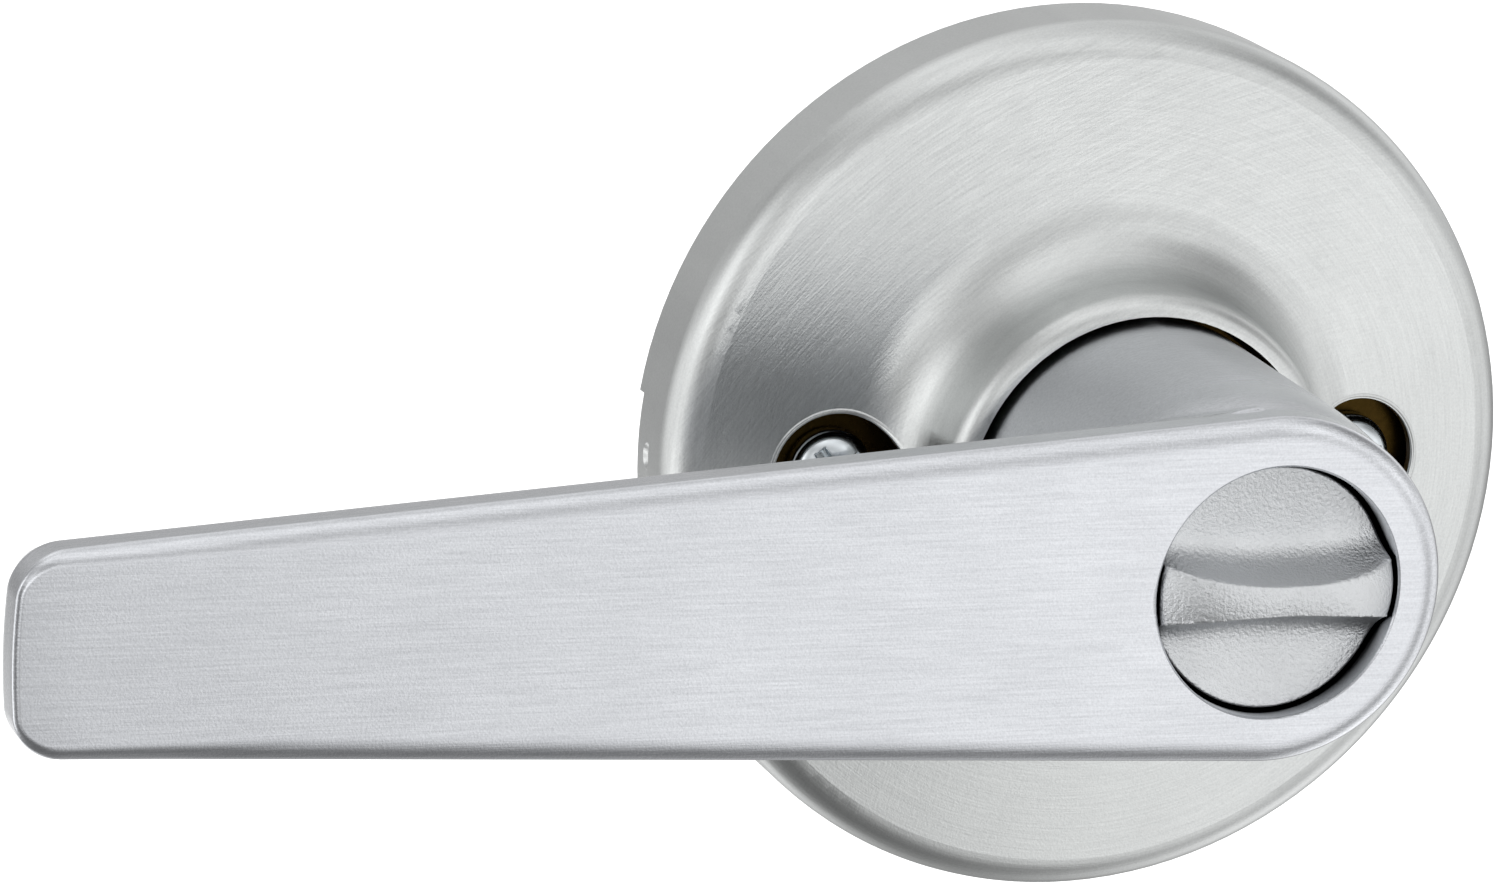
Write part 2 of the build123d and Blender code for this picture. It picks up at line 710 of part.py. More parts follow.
# Turn button
button_under = pocket_floor + button_washer_thickness + 2 * seat_gap
button_top = lever_projection + bar_rise
scoop_floor = lever_projection - scoop_depth
with BuildPart() as turn_button:
    with BuildSketch(profile_plane):
        ring_profile(0, button_radius, button_under, button_top)
        ring_profile(0, stem_radius, stem_end, button_under)
    revolve(axis=Axis.Y)
    # Crowned crest of the thumb bar
    with BuildSketch(Plane.XY):
        with BuildLine():
            crown = ThreePointArc((-button_radius, bar_fall - button_top), (0, -button_top),
                                  (button_radius, bar_fall - button_top))
            above = -button_top - bar_rise
            Polyline(crown @ 1, (button_radius, above), (-button_radius, above), crown @ 0)
        make_face()
    extrude(amount=button_radius, both=True, mode=Mode.SUBTRACT)
    # Two scoops leave the thumb bar between them
    flank = radians(bar_draft)
    rise = radians(scoop_slope)
    foot = bar_half_width + (button_top - scoop_floor) * tan(flank)
    far = 2 * button_radius
    for side in (-1, 1):
        with BuildSketch(Plane.YZ) as scoop:
            with BuildLine():
                Polyline(
                    (-button_top - far, side * (bar_half_width - far * tan(flank))),
                    (-scoop_floor, side * foot),
                    (-scoop_floor - far * tan(rise), side * (foot + far)),
                    (-button_top - far, side * (foot + far)),
                    close=True,
                )
            make_face()
            fillet(scoop.vertices().sort_by(Axis.X)[-1], bar_root_round)
        revolve(axis=Axis((0, 0, side * (foot + scoop_sweep)), (0, 1, 0)), mode=Mode.SUBTRACT)
    crest = turn_button.faces().sort_by(Axis.Y)[0]
    fillet(crest.edges(), bar_round)
    # Groove for the clip and slot for the blade
    with BuildSketch(profile_plane):
        ring_profile(stem_radius - clip_depth, stem_radius + clip_depth,
                     clip_front - clip_thickness - seat_gap, clip_front + seat_gap)
    revolve(axis=Axis.Y, mode=Mode.SUBTRACT)
    with BuildSketch(door_plane(stem_end)):
        Rectangle(blade_thickness + 2 * pin_gap, blade_width + 2 * pin_gap)
    extrude(amount=blade_grip, mode=Mode.SUBTRACT)
    blade_pin_height = (stem_end + clip_front - clip_thickness) / 2
    with BuildSketch(Plane.YZ):
        with Locations((-blade_pin_height, 0)):
            Circle(blade_pin_radius + pin_gap)
    extrude(amount=2 * stem_radius, both=True, mode=Mode.SUBTRACT)
turn_button.part.label = "turn_button"
export_step(turn_button.part, "parts/turn_button.step")


# Button washer
with BuildPart() as button_washer:
    with BuildSketch(profile_plane):
        ring_profile(stem_radius + pin_gap, stem_radius + button_washer_width,
                     pocket_floor + seat_gap, button_under - seat_gap)
    revolve(axis=Axis.Y)
button_washer.part.label = "button_washer"
export_step(button_washer.part, "parts/button_washer.step")


# Button clip
with BuildPart() as button_clip:
    with BuildSketch(door_plane(clip_front - clip_thickness)):
        clip_bore = stem_radius - clip_depth + pin_gap
        open_ring(clip_bore, stem_radius + clip_width, clip_opening, 90)
    extrude(amount=clip_thickness)
button_clip.part.label = "button_clip"
export_step(button_clip.part, "parts/button_clip.step")


# Torque blade
with BuildPart() as torque_blade:
    with BuildSketch(door_plane(-blade_tail)):
        Rectangle(blade_thickness, blade_width)
    extrude(amount=blade_tail + stem_end + blade_grip - end_play)
    with BuildSketch(Plane.YZ):
        with Locations((-blade_pin_height, 0)):
            Circle(blade_pin_radius + pin_gap)
    extrude(amount=blade_thickness, both=True, mode=Mode.SUBTRACT)
torque_blade.part.label = "torque_blade"
export_step(torque_blade.part, "parts/torque_blade.step")


# Blade pin
with BuildPart() as blade_pin:
    with BuildSketch(Plane.YZ.offset(end_play - stem_radius)):
        with Locations((-blade_pin_height, 0)):
            Circle(blade_pin_radius)
    extrude(amount=2 * (stem_radius - end_play))
blade_pin.part.label = "blade_pin"
export_step(blade_pin.part, "parts/blade_pin.step")

print("neck height", round(neck_height, 2), "liner rear", round(liner_rear, 2), "shank end", round(shank_end, 2))
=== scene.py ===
import bpy
import math
import numpy as np
from mathutils import Matrix, Vector


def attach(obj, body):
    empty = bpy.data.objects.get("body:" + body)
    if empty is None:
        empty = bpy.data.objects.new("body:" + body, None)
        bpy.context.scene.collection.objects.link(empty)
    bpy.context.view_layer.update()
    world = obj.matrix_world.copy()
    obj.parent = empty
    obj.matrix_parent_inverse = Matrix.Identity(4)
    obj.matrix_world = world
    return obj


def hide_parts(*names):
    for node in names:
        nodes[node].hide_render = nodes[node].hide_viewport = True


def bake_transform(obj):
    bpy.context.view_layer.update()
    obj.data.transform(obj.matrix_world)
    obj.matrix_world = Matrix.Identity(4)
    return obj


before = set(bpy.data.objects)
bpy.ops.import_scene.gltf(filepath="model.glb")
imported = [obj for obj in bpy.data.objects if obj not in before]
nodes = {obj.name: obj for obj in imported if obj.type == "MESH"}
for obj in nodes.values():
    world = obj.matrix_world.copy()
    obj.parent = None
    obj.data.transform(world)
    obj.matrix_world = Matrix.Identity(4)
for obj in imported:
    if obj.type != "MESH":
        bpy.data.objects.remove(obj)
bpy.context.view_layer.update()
mm = 0.001
print("frame loaded:", len(nodes), "nodes")


def hexLinear(code):
    # sRGB hex to linear RGBA
    parts = [int(code[i:i + 2], 16) / 255 for i in (1, 3, 5)]
    return [p / 12.92 if p <= 0.04045 else ((p + 0.055) / 1.055) ** 2.4 for p in parts] + [1.0]


def addNode(tree, kind, settings=None, links=None):
    # one node: settings go to its properties, links to its inputs (a socket is linked, a value is set)
    node = tree.nodes.new(kind)
    for key, value in (settings or {}).items():
        setattr(node, key, value)
    for key, value in (links or {}).items():
        socket = node.inputs[key]
        if isinstance(value, bpy.types.NodeSocket):
            tree.links.new(value, socket)
        else:
            socket.default_value = value
    return node


def newMaterial(name):
    mat = bpy.data.materials.new(name)
    mat.use_nodes = True
    tree = mat.node_tree
    shader = tree.nodes["Principled BSDF"]
    return mat, tree, shader


def dress(names, mat):
    # carried-over nodes keep their mesh and get this material
    for name in names:
        data = nodes[name].data
        data.materials.clear()
        data.materials.append(mat)


def fromAxis(tree, place):
    # the way straight out from an axis along Y, and the distance from it
    flat = addNode(tree, "ShaderNodeVectorMath", {"operation": "MULTIPLY"}, {0: place, 1: (1, 0, 1)})
    length = addNode(tree, "ShaderNodeVectorMath", {"operation": "LENGTH"}, {0: flat.outputs[0]})
    return flat.outputs[0], length.outputs["Value"]


def faceTurn(tree):
    # the way a surface faces: -1 straight ahead, 0 sideways, 1 to the door
    normal = addNode(tree, "ShaderNodeTexCoord").outputs["Normal"]
    return addNode(tree, "ShaderNodeSeparateXYZ", links={0: normal}).outputs["Y"]


# painted shade in gaps and recesses: the measure each follows, where it begins, where it is full, and its
# colour
paintedShadeSet = {
    "pocketWall": ("depth", 44.45, 43.2, "#242425"),
    "buttonWall": ("radius", 8.74, 8.79, "#242425"),
    "linerFront": ("facing", -0.35, -0.85, "#35280F"),
}
pocketReach = 9.3  # depth counts only this near to the spindle axis


def paintShade(tree, place, tint, where):
    # painted shade in a gap: the tint turns dark along the measure,
    # which is the distance in front of the door, the distance from the spindle axis, or the way it faces
    measure, start, full, colour = paintedShadeSet[where]
    if measure == "facing":
        value = faceTurn(tree)
    else:
        value, start, full = fromAxis(tree, place)[1], start * mm, full * mm
    if measure == "depth":
        outside = addNode(tree, "ShaderNodeMath", {"operation": "GREATER_THAN"},
                          {0: value, 1: pocketReach * mm})
        apart = addNode(tree, "ShaderNodeSeparateXYZ", links={0: place})
        value = addNode(tree, "ShaderNodeMath", {"operation": "SUBTRACT"},
                        {0: apart.outputs["Y"], 1: outside.outputs[0]}).outputs[0]
        start, full = -start, -full
    paintedShade = addNode(tree, "ShaderNodeMapRange", links={"Value": value, "From Min": start, "From Max": full})
    return addNode(tree, "ShaderNodeMix", {"data_type": "RGBA"}, {
        "Factor": paintedShade.outputs["Result"], "A": tint.outputs["Result"], "B": hexLinear(colour)})


# sizes in mm; drift is how far the roughness wanders from cloud to cloud
satin = {
    "roughness": 0.29, "drift": (-0.015, 0.025), "cloud": 9.0, "anisotropic": 0.65, "lineWidth": 0.17,
    "lineLength": 5.0, "grain": 0.17, "bumpDepth": 0.02, "buffTurn": (-0.998, -0.93), "buffPlace": (-37, -35),
}


def satinMetal(made, strokes, across, look):
    # satin chrome plate: a fine grain, and brush lines drawn out along each stroke's places; the highlight
    # spreads across the lines, and grain and lines are drawn coarser than real ones so that they show
    mat, tree, shader = made
    place = addNode(tree, "ShaderNodeTexCoord").outputs["Object"]
    grain = addNode(tree, "ShaderNodeTexNoise", links={
        "Vector": place, "Scale": 1 / (satin["grain"] * mm), "Detail": 1.0, "Roughness": 0.7})
    height = addNode(tree, "ShaderNodeMath", {"operation": "MULTIPLY_ADD"},
                     {0: grain.outputs["Fac"], 1: look["grainShare"], 2: look["level"]})
    for linePlace, share in strokes:
        lines = addNode(tree, "ShaderNodeTexNoise", links={
            "Vector": linePlace, "Scale": 1.0, "Detail": 3.0, "Roughness": 0.65})
        swing = addNode(tree, "ShaderNodeMath", {"operation": "SUBTRACT"}, {0: lines.outputs["Fac"], 1: 0.5})
        height = addNode(tree, "ShaderNodeMath", {"operation": "MULTIPLY_ADD"},
                         {0: swing.outputs[0], 1: share, 2: height.outputs[0]})
    cloud = addNode(tree, "ShaderNodeTexNoise", links={
        "Vector": place, "Scale": 1 / (satin["cloud"] * mm), "Detail": 2.0})
    rough = addNode(tree, "ShaderNodeMapRange", links={
        "Value": cloud.outputs["Fac"], "From Min": 0.3, "From Max": 0.7,
        "To Min": satin["roughness"] + satin["drift"][0], "To Max": satin["roughness"] + satin["drift"][1]})
    # edges at the front are buffed: they shine more where the surface turns away
    edge = addNode(tree, "ShaderNodeMapRange", links={
        "Value": faceTurn(tree), "From Min": satin["buffTurn"][0], "From Max": satin["buffTurn"][1],
        "To Min": 0.0, "To Max": look["buffed"]})
    apart = addNode(tree, "ShaderNodeSeparateXYZ", links={0: place})
    ahead = addNode(tree, "ShaderNodeMapRange", links={
        "Value": apart.outputs["Y"], "From Min": satin["buffPlace"][0] * mm,
        "From Max": satin["buffPlace"][1] * mm, "To Min": -1.0, "To Max": 0.0})
    front = addNode(tree, "ShaderNodeMath", {"operation": "MULTIPLY_ADD"},
                    {0: edge.outputs["Result"], 1: ahead.outputs["Result"], 2: 1.0})
    rough = addNode(tree, "ShaderNodeMath", {"operation": "MULTIPLY"},
                    {0: rough.outputs["Result"], 1: front.outputs[0]})
    tint = addNode(tree, "ShaderNodeMix", {"data_type": "RGBA"}, {
        "Factor": height.outputs[0], "A": hexLinear(look["low"]), "B": hexLinear(look["high"])})
    # painted shade: the tint darkens in the gap that the look names
    if look["paintedShade"]:
        tint = paintShade(tree, place, tint, look["paintedShade"])
    bump = addNode(tree, "ShaderNodeBump", links={
        "Height": height.outputs[0], "Strength": look["bump"], "Distance": satin["bumpDepth"] * mm})
    shader.inputs["Metallic"].default_value = 1.0
    shader.inputs["Anisotropic"].default_value = satin["anisotropic"]
    tree.links.new(tint.outputs["Result"], shader.inputs["Base Color"])
    tree.links.new(rough.outputs[0], shader.inputs["Roughness"])
    tree.links.new(bump.outputs["Normal"], shader.inputs["Normal"])
    tree.links.new(across, shader.inputs["Tangent"])
    return mat


# neutral plate: rings about the spindle, and short scratches in arcs about a middle off to the lower right,
# which grow stronger to the upper left; a middle is x, z and how many noise cells a ring's radius spans
roseLook = {
    "low": "#ADAFAF", "high": "#E3E5E4", "bump": 1.0, "grainShare": 0.4, "buffed": 0.0, "level": 0.35,
    "middles": ((0, 0, 5.0), (26, -34, 20.0)), "ringShare": 0.45, "arcShares": (0.15, 0.8),
    "arcFade": (-14, 26), "arcSide": (-0.7, 0, 0.7), "arcTurn": (-0.5, -0.85), "paintedShade": None,
}


def satinChromeRose():
    # brushed in circles about the spindle: the light gathers in fans that run out from the middle
    mat, tree, shader = newMaterial("satinChromeCircular")
    place = addNode(tree, "ShaderNodeTexCoord").outputs["Object"]
    side = addNode(tree, "ShaderNodeVectorMath", {"operation": "DOT_PRODUCT"},
                   {0: place, 1: roseLook["arcSide"]})
    near, far = roseLook["arcFade"]
    arcs = addNode(tree, "ShaderNodeMapRange", links={
        "Value": side.outputs["Value"], "From Min": near * mm, "From Max": far * mm,
        "To Min": roseLook["arcShares"][0], "To Max": roseLook["arcShares"][1]})
    # no arcs on the skirt, which faces sideways
    ahead = addNode(tree, "ShaderNodeMapRange", links={
        "Value": faceTurn(tree), "From Min": roseLook["arcTurn"][0], "From Max": roseLook["arcTurn"][1]})
    arcs = addNode(tree, "ShaderNodeMath", {"operation": "MULTIPLY"},
                   {0: arcs.outputs["Result"], 1: ahead.outputs["Result"]})
    shares, strokes, across = (roseLook["ringShare"], arcs.outputs[0]), [], None
    for (x, z, cells), share in zip(roseLook["middles"], shares):
        shifted = addNode(tree, "ShaderNodeVectorMath", {"operation": "SUBTRACT"},
                          {0: place, 1: (x * mm, 0, z * mm)})
        flat, radius = fromAxis(tree, shifted.outputs[0])
        outward = addNode(tree, "ShaderNodeVectorMath", {"operation": "NORMALIZE"}, {0: flat})
        # rings: the direction turns slowly and the radius fast, so noise is drawn out along each ring
        turn = addNode(tree, "ShaderNodeVectorMath", {"operation": "SCALE"},
                       {0: outward.outputs[0], "Scale": cells})
        depth = addNode(tree, "ShaderNodeMath", {"operation": "DIVIDE"},
                        {0: radius, 1: satin["lineWidth"] * mm})
        rings = addNode(tree, "ShaderNodeVectorMath", {"operation": "MULTIPLY_ADD"},
                        {0: (0, 1, 0), 1: depth.outputs[0], 2: turn.outputs[0]})
        strokes.append((rings.outputs[0], share))
        across = across or outward.outputs[0]
    return satinMetal((mat, tree, shader), strokes, across, roseLook)


# slightly cool plate with short fine level lines, and painted shade darkening the wall of the button's pocket
leverLook = {
    "low": "#ABADB1", "high": "#E6E8EC", "bump": 0.8, "grainShare": 0.45, "buffed": 0.5, "level": 0.325,
    "lineShare": 0.65, "paintedShade": "pocketWall",
}


def satinChromeLever():
    # brushed along the lever: the highlight spreads up and down
    mat, tree, shader = newMaterial("satinChromeStraight")
    place = addNode(tree, "ShaderNodeTexCoord").outputs["Object"]
    stretch = addNode(tree, "ShaderNodeMapping", links={
        "Vector": place, "Scale": (1 / (satin["lineLength"] * mm), 1 / (satin["lineWidth"] * mm),
                                   1 / (satin["lineWidth"] * mm))})
    across = addNode(tree, "ShaderNodeCombineXYZ", links={"Z": 1.0})
    strokes = [(stretch.outputs[0], leverLook["lineShare"])]
    return satinMetal((mat, tree, shader), strokes, across.outputs[0], leverLook)


plainSet = {"cloud": 6.0, "drift": (-0.05, 0.08), "bump": 0.4}


def plainMetal(name, low, high, roughness, grain, bumpDepth, paintedShade=None):
    # an unbrushed metal with cloudy colour and a fine grain; sizes of cloud and grain and the bump's depth
    # are in mm, and the grain is drawn coarser than a real one so that it shows
    mat, tree, shader = newMaterial(name)
    place = addNode(tree, "ShaderNodeTexCoord").outputs["Object"]
    cloud = addNode(tree, "ShaderNodeTexNoise", links={
        "Vector": place, "Scale": 1 / (plainSet["cloud"] * mm), "Detail": 4.0, "Roughness": 0.6})
    fine = addNode(tree, "ShaderNodeTexNoise", links={
        "Vector": place, "Scale": 1 / (grain * mm), "Detail": 3.0, "Roughness": 0.65})
    tint = addNode(tree, "ShaderNodeMix", {"data_type": "RGBA"}, {
        "Factor": cloud.outputs["Fac"], "A": hexLinear(low), "B": hexLinear(high)})
    # painted shade: the tint darkens in the gap that is named
    if paintedShade:
        tint = paintShade(tree, place, tint, paintedShade)
    rough = addNode(tree, "ShaderNodeMapRange", links={
        "Value": fine.outputs["Fac"], "From Min": 0.3, "From Max": 0.7,
        "To Min": roughness + plainSet["drift"][0], "To Max": roughness + plainSet["drift"][1]})
    bump = addNode(tree, "ShaderNodeBump", links={
        "Height": fine.outputs["Fac"], "Strength": plainSet["bump"], "Distance": bumpDepth * mm})
    shader.inputs["Metallic"].default_value = 1.0
    tree.links.new(tint.outputs["Result"], shader.inputs["Base Color"])
    tree.links.new(rough.outputs["Result"], shader.inputs["Roughness"])
    tree.links.new(bump.outputs["Normal"], shader.inputs["Normal"])
    return mat


nylonSet = {"low": "#1C1C1D", "high": "#29292A", "cloud": 2.0, "roughness": (0.38, 0.6), "ior": 1.53}


def blackNylon():
    # moulded black nylon: a dull sheen with a faint cloudy gloss
    mat, tree, shader = newMaterial("mouldedNylon")
    place = addNode(tree, "ShaderNodeTexCoord").outputs["Object"]
    cloud = addNode(tree, "ShaderNodeTexNoise", links={
        "Vector": place, "Scale": 1 / (nylonSet["cloud"] * mm), "Detail": 4.0})
    tint = addNode(tree, "ShaderNodeMix", {"data_type": "RGBA"}, {
        "Factor": cloud.outputs["Fac"], "A": hexLinear(nylonSet["low"]), "B": hexLinear(nylonSet["high"])})
    rough = addNode(tree, "ShaderNodeMapRange", links={
        "Value": cloud.outputs["Fac"], "To Min": nylonSet["roughness"][0], "To Max": nylonSet["roughness"][1]})
    tree.links.new(tint.outputs["Result"], shader.inputs["Base Color"])
    tree.links.new(rough.outputs["Result"], shader.inputs["Roughness"])
    shader.inputs["IOR"].default_value = nylonSet["ior"]
    return mat


roseFinish = satinChromeRose()
leverFinish = satinChromeLever()
# satin plate on an unbrushed casting: an even soft grey with a pebbled grain, and painted shade darkening its
# side wall at the rim
buttonFinish = plainMetal("castSatinChrome", "#CCCED0", "#E5E7E9", 0.38, 0.28, 0.3, "buttonWall")
# yellow-passivated zinc on pressed steel: a dull gold, with painted shade turning the faces that look forward
# dark brown
yellowZinc = plainMetal("yellowPassivatedZinc", "#6B5324", "#8F7138", 0.30, 0.4, 0.01, "linerFront")
# bright zinc plate: nearly polished, with a faint blue
brightZinc = plainMetal("brightZincPlate", "#C4CACE", "#DADFE2", 0.16, 0.3, 0.005)
# drawn spring steel under oil: dark, with a soft sheen
springSteel = plainMetal("oiledSpringSteel", "#5D5D60", "#77777A", 0.3, 0.3, 0.008)
# pressed mild steel with a thin zinc plate: a plain mid grey
plainSteel = plainMetal("zincPlatedSteel", "#A8A9AA", "#C2C3C4", 0.34, 0.3, 0.01)
# sintered steel: dull and finely porous
sinteredSteel = plainMetal("sinteredSteel", "#77736E", "#8C8882", 0.5, 0.12, 0.03)
nylon = blackNylon()

dress(["rose_cover"], roseFinish)
dress(["lever"], leverFinish)
dress(["turn_button"], buttonFinish)
dress(["rose_liner"], yellowZinc)
dress(["mounting_screws", "cage_rivets", "sleeve_screws", "spring_cage"], brightZinc)
dress(["neck_bushing", "button_washer"], nylon)
dress(["return_spring", "spring_washer", "retaining_ring", "plate_ring", "button_clip"], springSteel)
dress(["thrust_washer", "stop_plate", "half_round_spindle", "spindle_pin", "torque_blade", "blade_pin"],
      plainSteel)
dress(["drive_sleeve"], sinteredSteel)
print("finishes set")


def pieceMesh(name, sheets, mat):
    # each sheet is a grid of points in mm whose rows are rings; the last row joins the first,
    # or else both end rows are closed by a centre point
    points, quads, tris, base = [], [], [], 0
    for grid, endsMeet in sheets:
        rows, cols = grid.shape[:2]
        row = np.arange(rows if endsMeet else rows - 1)[:, None]
        left = np.arange(cols)
        right = (left + 1) % cols
        near, far = row * cols, ((row + 1) % rows) * cols
        corners = np.stack([near + left, near + right, far + right, far + left], -1).reshape(-1, 4)
        quads.append(corners + base)
        points.append(grid.reshape(-1, 3))
        first, last, base = base, base + (rows - 1) * cols, base + rows * cols
        if not endsMeet:
            points.append(np.stack([grid[0].mean(0), grid[-1].mean(0)]))
            tris.append(np.stack([np.full(cols, base), first + right, first + left], -1))
            tris.append(np.stack([np.full(cols, base + 1), last + left, last + right], -1))
            base += 2
    points = np.concatenate(points) * mm
    quads = np.concatenate(quads)
    tris = np.concatenate(tris) if tris else np.zeros((0, 3), int)
    # the enclosed volume tells whether the faces point outwards
    halves = np.concatenate([quads[:, [0, 1, 2]], quads[:, [0, 2, 3]], tris])
    a, b, c = points[halves[:, 0]], points[halves[:, 1]], points[halves[:, 2]]
    if np.einsum("ij,ij->", a, np.cross(b, c)) < 0:
        quads, tris = quads[:, ::-1], tris[:, ::-1]
    mesh = bpy.data.meshes.new(name)
    mesh.vertices.add(len(points))
    mesh.vertices.foreach_set("co", points.ravel())
    mesh.loops.add(quads.size + tris.size)
    mesh.loops.foreach_set("vertex_index", np.concatenate([quads.ravel(), tris.ravel()]))
    mesh.polygons.add(len(quads) + len(tris))
    mesh.polygons.foreach_set("loop_start", np.concatenate(
        [np.arange(len(quads)) * 4, quads.size + np.arange(len(tris)) * 3]))
    mesh.polygons.foreach_set("use_smooth", np.ones(len(quads) + len(tris), bool))
    mesh.update(calc_edges=True)
    mesh.validate()
    mesh.materials.append(mat)
    piece = bpy.data.objects.new(name, mesh)
    bpy.context.scene.collection.objects.link(piece)
    return piece


def turned(radius, height, angle, centre=0.0):
    # heights and radii along a profile, turned about an axis along Y; each may vary with the angle
    return np.stack([centre + radius * np.cos(angle), -height + 0 * angle, radius * np.sin(angle)], -1)


def smoothStep(value, low, high):
    t = np.clip((value - low) / (high - low), 0, 1)
    return t * t * (3 - 2 * t)


crisp = 0.02  # mm between the two rows that keep an edge sharp under smooth shading

# turn button: a disc whose face is two scoops with a crowned thumb bar between them
buttonSet = {
    "radius": 8.8, "face": 44.75, "rise": 2.39, "fall": 2.6, "fallPower": 3.4, "crown": 0.10,
    "halfWidth": 1.05, "flare": 0.0125, "flank": 0.75, "flankPower": 1.15, "scoop": 2.15, "rimScoop": 1.45,
    "rimRound": 0.28, "under": 35.91, "underRadius": 8.5, "stem": 3.9, "stemRound": 0.4, "stemEnd": 23.15,
    "stemChamfer": 0.3, "groove": 3.1, "grooveFront": 28.28, "grooveRear": 27.32,
}


def turnButton():
    # height = floor + (crest - floor) * exp(-(v / flank)^power), v the distance past the bar's edge:
    # the crest falls with a power of x and is crowned across, the bar widens with x squared, and the floor
    # rises to the rim, where a quarter round takes it down to the wall
    s = buttonSet
    angle = np.linspace(0, 2 * np.pi, 320, endpoint=False)[None, :]
    radius = s["radius"] * np.concatenate([np.linspace(0.01, 0.955, 120), np.linspace(0.96, 1, 22)])[:, None]
    x, z = radius * np.cos(angle), radius * np.sin(angle)
    past = np.clip(np.abs(z) - s["halfWidth"] - s["flare"] * x * x, 0, None)
    floor = s["face"] - s["scoop"] + (s["scoop"] - s["rimScoop"]) * (z / s["radius"]) ** 2
    crest = s["face"] + s["rise"] - s["fall"] * np.abs(x / s["radius"]) ** s["fallPower"]
    crest = crest - s["crown"] * np.where(past > 0, 1, (z / s["halfWidth"]) ** 2)
    crest = np.maximum(crest, floor)
    top = floor + (crest - floor) * np.exp(-(past / s["flank"]) ** s["flankPower"])
    edge = np.clip((radius - s["radius"] + s["rimRound"]) / s["rimRound"], 0, 1)
    top = top - s["rimRound"] * (1 - np.sqrt(1 - edge * edge))
    wall = np.linspace(0, 1, 14)[1:, None]
    side = top[-1:] * (1 - wall) + s["under"] * wall
    # radius and height down the underside and the stem with its clip groove
    stem = np.array([
        (s["underRadius"], s["under"] - crisp), (s["stem"] + s["stemRound"], s["under"] - crisp),
        (s["stem"] + 0.05, s["under"] - 0.1), (s["stem"], s["under"] - s["stemRound"]),
        (s["stem"], s["grooveFront"] + crisp), (s["stem"], s["grooveFront"]),
        (s["groove"], s["grooveFront"]), (s["groove"], s["grooveRear"]),
        (s["stem"], s["grooveRear"]), (s["stem"], s["grooveRear"] - crisp),
        (s["stem"], s["stemEnd"] + s["stemChamfer"]), (s["stem"] - s["stemChamfer"], s["stemEnd"])])
    grid = np.concatenate([
        turned(radius, top, angle), turned(np.full_like(wall, s["radius"]), side, angle),
        turned(stem[:, :1], stem[:, 1:], angle)])
    return pieceMesh("turnButton", [(grid, False)], buttonFinish)


button = turnButton()
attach(button, "turn_button")
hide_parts("turn_button")
print("turn button made")


# mounting screws: pan head with a cross recess, plain neck and a cut thread
screwSet = {
    "place": 20.65, "seat": 7.23, "head": 3.2, "dome": 3.1, "domeBase": 1.0, "domeHeight": 1.6,
    "domePower": 3.2, "domeShare": 0.98, "crossReach": 2.35, "crossWidth": 0.48, "crossDepth": 1.75,
    "crossSoft": 0.07, "crossPower": 0.7, "bowl": 0.95, "crossTurn": (35.0, 12.0), "neck": 1.85,
    "threadStart": 2.83, "thread": 2.08, "threadDepth": 0.42, "threadFlank": (0.08, 0.92), "pitch": 0.794,
    "tail": -26.0, "point": (0.9, 0.45),
}


def mountingScrews():
    # head: height = base + rise * sqrt(1 - share * r^power), nearly flat in the middle and steep at the rim,
    # minus a bowl and four wings whose depth falls outwards;
    # thread: radius = a rounded triangle wave of height / pitch - angle / full turn, thinner at the point
    s = screwSet
    sheets = []
    for centre, turn in zip((-s["place"], s["place"]), s["crossTurn"]):
        angle = np.linspace(0, 2 * np.pi, 240, endpoint=False)[None, :]
        radius = np.linspace(0.02, s["dome"], 72)[:, None]
        dome = s["domeBase"] + s["domeHeight"] * np.sqrt(
            1 - s["domeShare"] * (radius / s["dome"]) ** s["domePower"])
        along = radius * np.cos(angle - np.radians(turn))
        across = radius * np.sin(angle - np.radians(turn))
        cut = 0.0
        slotInner, slotOuter = s["crossWidth"] - s["crossSoft"], s["crossWidth"] + s["crossSoft"]
        for u, v in ((along, across), (across, along)):
            inside = 1 - smoothStep(np.abs(v), slotInner, slotOuter)
            wing = np.clip(1 - np.abs(u) / s["crossReach"], 0, 1) ** s["crossPower"]
            cut = np.maximum(cut, inside * s["crossDepth"] * wing)
        bowl = s["crossDepth"] * np.clip(1 - (radius / s["bowl"]) ** 4, 0, 1)
        head = turned(radius, s["seat"] + dome - np.maximum(cut, bowl), angle, centre)
        # radius and height above the seat, from the dome's rim round the head to the neck
        rim = np.array([
            (s["dome"] + 0.05, 1.22), (s["head"] - 0.01, 1.0), (s["head"], 0.8), (s["head"], 0.12),
            (s["head"] - 0.1, 0.0), (2.2, 0.0), (s["neck"] + crisp, -crisp)])
        neck = np.array([(s["neck"], s["seat"] - 0.3), (s["neck"], s["threadStart"] + 0.2)])
        below = np.concatenate([turned(rim[:, :1], s["seat"] + rim[:, 1:], angle, centre),
                                turned(neck[:, :1], neck[:, 1:], angle, centre)])
        sheets.append((np.concatenate([head, below]), False))
        coarse = np.linspace(0, 2 * np.pi, 40, endpoint=False)[None, :]
        height = np.linspace(s["threadStart"] + 0.25, s["tail"], 330)[:, None]
        wave = np.abs(((height / s["pitch"] - coarse / (2 * np.pi)) % 1) * 2 - 1)
        bolt = s["thread"] - s["threadDepth"] * smoothStep(wave, *s["threadFlank"])
        pointLength, pointDepth = s["point"]
        bolt = bolt - pointDepth * smoothStep(-height, -s["tail"] - pointLength, -s["tail"])
        bolt = np.minimum(bolt, s["neck"] - 0.05 + 3 * np.clip(s["threadStart"] - height, 0, 1))
        sheets.append((turned(bolt, height, coarse, centre), False))
    return pieceMesh("mountingScrews", sheets, brightZinc)


screws = mountingScrews()
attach(screws, "rose")
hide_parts("mounting_screws")
print("mounting screws made")


# return spring: round wire on a coil with both legs bent along the axis
springSet = {
    "coil": 14.8, "wire": 0.85, "pitch": 2.3, "turns": 3, "front": 0.87, "bend": 2.0,
    "frontEnd": -5.03, "rearEnd": 10.52,
}


